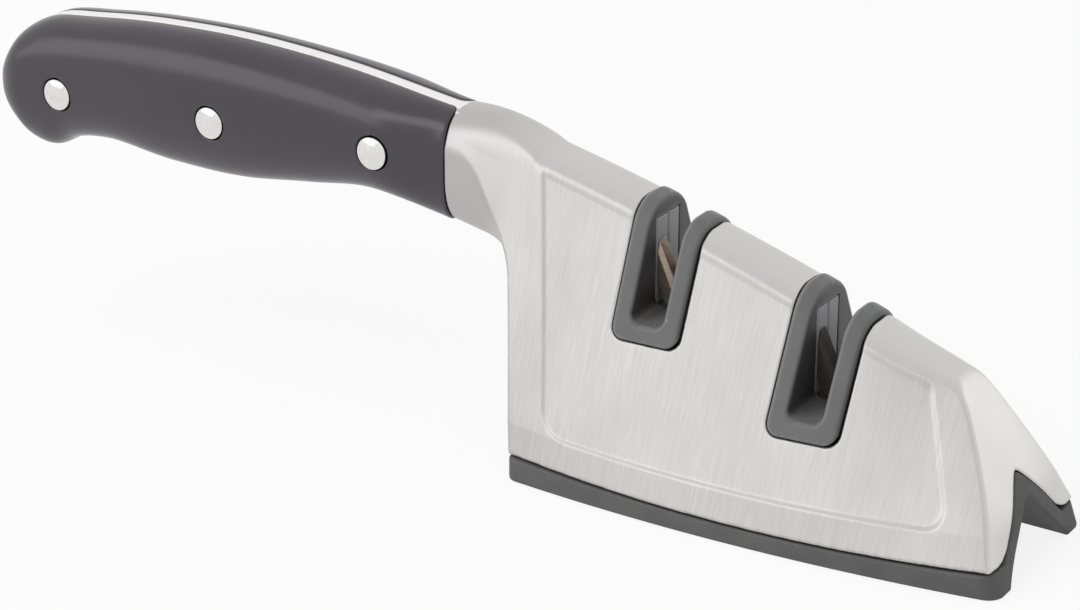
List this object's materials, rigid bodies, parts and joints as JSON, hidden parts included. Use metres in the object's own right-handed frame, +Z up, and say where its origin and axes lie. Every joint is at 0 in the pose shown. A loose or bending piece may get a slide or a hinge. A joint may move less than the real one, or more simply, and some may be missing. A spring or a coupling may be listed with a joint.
{
  "type": "knife sharpener",
  "caption": "Knife-shaped pull-through knife sharpener: wedge-shaped metal body on a grooved rubber sole, slots with coarse and fine sharpening elements, and a riveted knife handle.",
  "frame": {"origin": "under the middle of the overall length, on the surface that the rubber sole stands on", "axes": "+X from the butt of the handle to the nose, +Y to the far side, +Z up; Y = 0 is the middle plane"},
  "size_m": [0.2484, 0.0533, 0.0713],
  "materials": {
    "body_metal": "brushed satin steel",
    "grip_plastic": "satin black moulded scales",
    "rivet_metal": "polished steel",
    "guide_plastic": "fine satin moulded grey",
    "holder_plastic": "moulded light grey",
    "carbide": "ground carbide",
    "ceramic_stone": "fine matt dark ceramic",
    "frame_metal": "black coated casting",
    "sole_rubber": "matt dark grey rubber",
    "fastener_metal": "plated steel"
  },
  "bodies": {
    "root": {"housing": "body_metal", "near_scale": "grip_plastic", "far_scale": "grip_plastic", "rivet_tube_rear": "rivet_metal", "rivet_pin_rear": "rivet_metal", "rivet_tube_middle": "rivet_metal", "rivet_pin_middle": "rivet_metal", "rivet_tube_front": "rivet_metal", "rivet_pin_front": "rivet_metal", "coarse_guide": "guide_plastic", "coarse_holder_near": "holder_plastic", "coarse_holder_far": "holder_plastic", "coarse_carbide_near": "carbide", "coarse_carbide_far": "carbide", "guide_screw_coarse": "fastener_metal", "fine_guide": "guide_plastic", "fine_holder_near": "holder_plastic", "fine_holder_far": "holder_plastic", "fine_stone_near": "ceramic_stone", "fine_stone_far": "ceramic_stone", "guide_screw_fine": "fastener_metal", "base_frame": "frame_metal", "rubber_sole": "sole_rubber", "sole_screw_rear": "fastener_metal", "sole_screw_middle": "fastener_metal", "sole_screw_front": "fastener_metal"}
  },
  "joints": []
}
